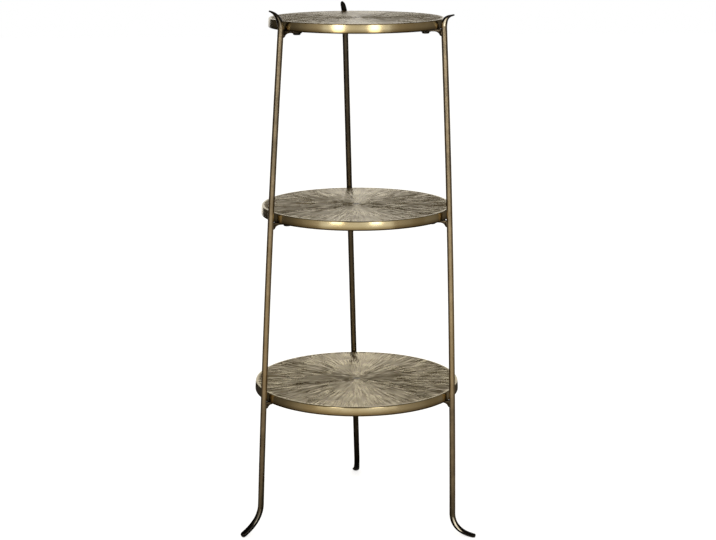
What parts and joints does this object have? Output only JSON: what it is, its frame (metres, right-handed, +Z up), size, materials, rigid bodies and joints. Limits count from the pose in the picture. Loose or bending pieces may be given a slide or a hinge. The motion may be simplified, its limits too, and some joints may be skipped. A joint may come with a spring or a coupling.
{
  "type": "tiered side table",
  "caption": "Tall side table: round metal trays in tiers between three slim forged legs with flared toes and small leaf tips.",
  "frame": {"origin": "the middle of the footprint's bounding box, on the floor", "axes": "+Z up out of the decks; the back leg stands on the +Y side and the front of the table faces -Y, so +X is to the right"},
  "size_m": [0.3756, 0.3882, 0.836],
  "materials": {
    "forged_bronze_steel": "satin",
    "cast_tray": "satin",
    "dark_fasteners": "satin"
  },
  "bodies": {
    "root": {"leg_back": "forged_bronze_steel", "leg_front_left": "forged_bronze_steel", "leg_front_right": "forged_bronze_steel", "arm_top_back": "forged_bronze_steel", "arm_top_front_left": "forged_bronze_steel", "arm_top_front_right": "forged_bronze_steel", "arm_middle_back": "forged_bronze_steel", "arm_middle_front_left": "forged_bronze_steel", "arm_middle_front_right": "forged_bronze_steel", "arm_bottom_back": "forged_bronze_steel", "arm_bottom_front_left": "forged_bronze_steel", "arm_bottom_front_right": "forged_bronze_steel", "tray_top": "cast_tray", "tray_middle": "cast_tray", "tray_bottom": "cast_tray", "screws_top": "dark_fasteners", "screws_middle": "dark_fasteners", "screws_bottom": "dark_fasteners", "washers_top": "dark_fasteners", "washers_middle": "dark_fasteners", "washers_bottom": "dark_fasteners"}
  },
  "joints": []
}
